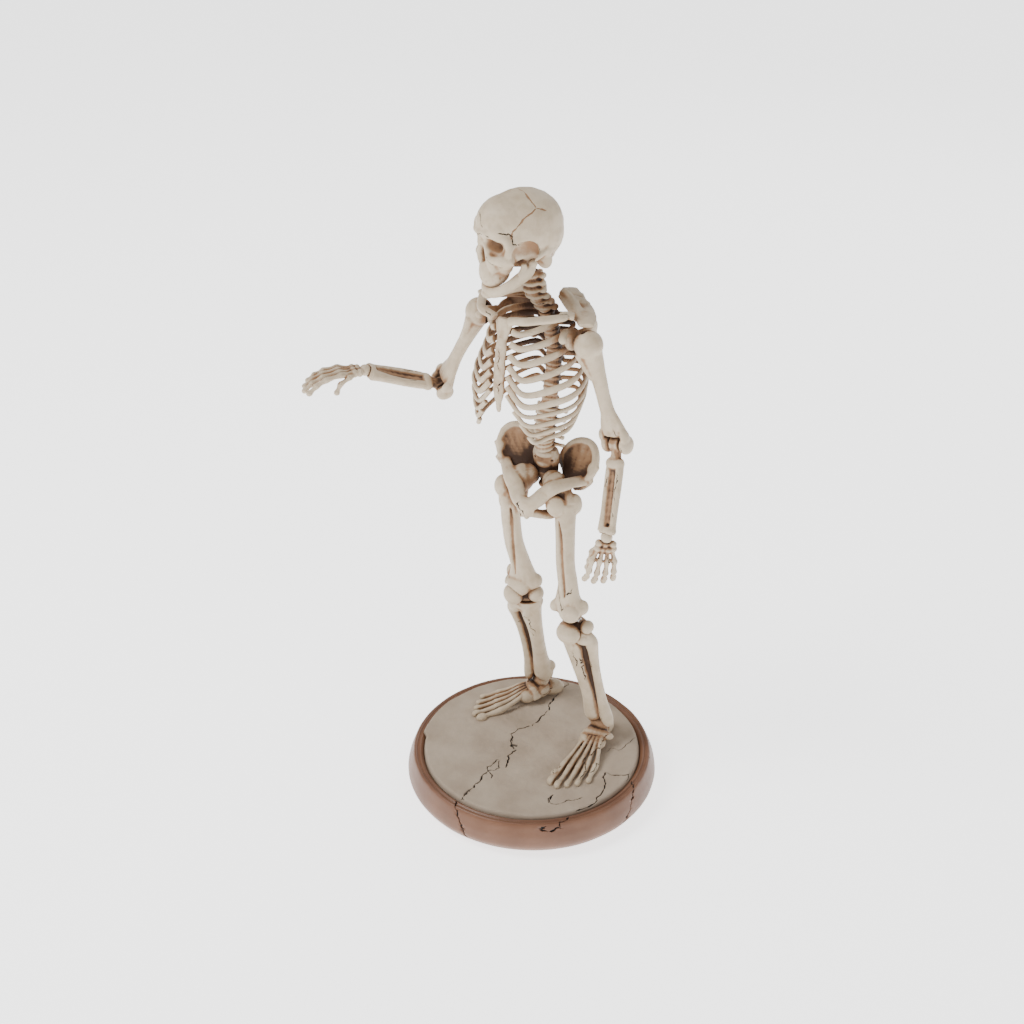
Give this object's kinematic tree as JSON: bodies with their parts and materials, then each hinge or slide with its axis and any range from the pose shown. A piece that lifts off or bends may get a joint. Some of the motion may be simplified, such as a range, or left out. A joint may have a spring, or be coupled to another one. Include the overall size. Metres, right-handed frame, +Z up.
{
  "type": "skeleton figure",
  "caption": "Posable human skeleton figure standing on a round base with a cracked-earth top.",
  "frame": {"origin": "centre of the felt pad's underside, on the surface that the figure stands on", "axes": "+Z up, the figure faces -Y, its own left arm is towards +X"},
  "size_m": [0.1523, 0.12, 0.29],
  "materials": {
    "bone": "satin ivory resin with brown wash in the hollows",
    "earth": "matt sandy grey, cracked",
    "terracotta": "satin terracotta brown",
    "steel": "ground pins",
    "felt": "dark felt"
  },
  "bodies": {
    "stand": {"felt_pad": "felt", "base_plinth": "terracotta", "ground_plate": "earth", "left_foot": "bone", "right_foot": "bone", "left_ankle_ball": "bone", "right_ankle_ball": "bone", "left_shin": "bone", "right_shin": "bone", "left_femur": "bone", "right_femur": "bone", "pelvis": "bone", "sacrum": "bone", "lumbar_spine": "bone", "thoracic_spine": "bone", "cervical_spine": "bone", "sternum": "bone", "left_clavicle": "bone", "right_clavicle": "bone", "left_scapula": "bone", "right_scapula": "bone", "left_rib_01": "bone", "left_rib_02": "bone", "left_rib_03": "bone", "left_rib_04": "bone", "left_rib_05": "bone", "left_rib_06": "bone", "left_rib_07": "bone", "left_rib_08": "bone", "left_rib_09": "bone", "left_rib_10": "bone", "right_rib_01": "bone", "right_rib_02": "bone", "right_rib_03": "bone", "right_rib_04": "bone", "right_rib_05": "bone", "right_rib_06": "bone", "right_rib_07": "bone", "right_rib_08": "bone", "right_rib_09": "bone", "right_rib_10": "bone", "left_knee_pin": "steel", "right_knee_pin": "steel", "left_hip_pin": "steel", "right_hip_pin": "steel"},
    "neck_pivot": {"neck_pin": "steel"},
    "head": {"skull": "bone"},
    "jaw": {"mandible": "bone"},
    "left_shoulder": {"left_shoulder_pin": "steel"},
    "left_upper_arm": {"left_humerus": "bone", "left_elbow_pin": "steel"},
    "left_lower_arm": {"left_forearm": "bone", "left_wrist_ball": "bone"},
    "left_palm": {"left_hand": "bone"},
    "right_shoulder": {"right_shoulder_pin": "steel"},
    "right_upper_arm": {"right_humerus": "bone", "right_elbow_pin": "steel"},
    "right_lower_arm": {"right_forearm": "bone", "right_wrist_ball": "bone"},
    "right_palm": {"right_hand": "bone"}
  },
  "joints": [
    {"name": "head_turn", "type": "hinge", "parent": "stand", "child": "neck_pivot", "pos_m": [-0.008, 0.008, 0.26], "axis": [0, 0, 1], "range_deg": [-30, 60]},
    {"name": "head_nod", "type": "hinge", "parent": "neck_pivot", "child": "head", "pos_m": [-0.008, 0.008, 0.26], "axis": [0.9135, -0.4067, 0], "range_deg": [-14, 2]},
    {"name": "jaw_open", "type": "hinge", "parent": "head", "child": "jaw", "pos_m": [-0.01018, 0.0031, 0.26227], "axis": [0.9135, -0.4067, 0], "range_deg": [0, 12]},
    {"name": "left_shoulder_swing", "type": "hinge", "parent": "stand", "child": "left_shoulder", "pos_m": [0.0215, 0.008, 0.23], "axis": [-1, 0, 0], "range_deg": [-25, 80]},
    {"name": "left_shoulder_raise", "type": "hinge", "parent": "left_shoulder", "child": "left_upper_arm", "pos_m": [0.0215, 0.008, 0.23], "axis": [0, -0.9806, -0.1961], "range_deg": [-3, 55]},
    {"name": "left_elbow_bend", "type": "hinge", "parent": "left_upper_arm", "child": "left_lower_arm", "pos_m": [0.03151, 0.01701, 0.18497], "axis": [-0.9771, 0.044, -0.2083], "range_deg": [-28, 80]},
    {"name": "left_wrist_bend", "type": "hinge", "parent": "left_lower_arm", "child": "left_palm", "pos_m": [0.03857, 0.00186, 0.14863], "axis": [0.7651, 0.6378, -0.0887], "range_deg": [-35, 40]},
    {"name": "right_shoulder_swing", "type": "hinge", "parent": "stand", "child": "right_shoulder", "pos_m": [-0.0375, 0.008, 0.23], "axis": [-1, 0, 0], "range_deg": [-30, 60]},
    {"name": "right_shoulder_raise", "type": "hinge", "parent": "right_shoulder", "child": "right_upper_arm", "pos_m": [-0.0375, 0.008, 0.23], "axis": [0, 1, 0], "range_deg": [-15, 40]},
    {"name": "right_elbow_bend", "type": "hinge", "parent": "right_upper_arm", "child": "right_lower_arm", "pos_m": [-0.06045, 0.008, 0.18898], "axis": [-0.7631, 0.4851, 0.427], "range_deg": [-85, 20]},
    {"name": "right_wrist_bend", "type": "hinge", "parent": "right_lower_arm", "child": "right_palm", "pos_m": [-0.07417, -0.02656, 0.20372], "axis": [0.8575, -0.5145, 0.0005], "range_deg": [-35, 40]}
  ]
}
